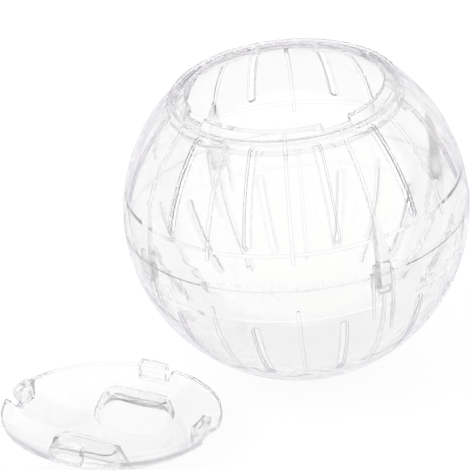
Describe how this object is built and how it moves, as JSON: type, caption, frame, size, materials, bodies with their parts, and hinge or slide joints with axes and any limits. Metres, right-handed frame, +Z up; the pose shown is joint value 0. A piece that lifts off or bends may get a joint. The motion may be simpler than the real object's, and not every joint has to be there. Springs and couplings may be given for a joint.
{
  "type": "hamster exercise ball",
  "caption": "Clear plastic running ball for a small pet: two slotted half shells snapped at the seam, a round mouth with a bayonet ledge, and its dished lid laid beside it.",
  "frame": {"origin": "on the floor, at the point that the ball's underside touches, under the ball's centre", "axes": "+Z up, along the ball's axis and out of its mouth; -Y is the front that the picture shows, with the lid to its left"},
  "size_m": [0.192, 0.1763, 0.1258],
  "materials": {
    "shell_plastic": "clear polished",
    "lid_plastic": "clear polished"
  },
  "bodies": {
    "ball": {"upper_shell": "shell_plastic", "lower_shell": "shell_plastic"},
    "lid": {"lid": "lid_plastic"}
  },
  "joints": [
    {"name": "lid_lift", "type": "slide", "parent": "ball", "child": "lid", "axis": [-0.5503, -0.444, 0.7071], "range_m": [0, 0.16]}
  ]
}
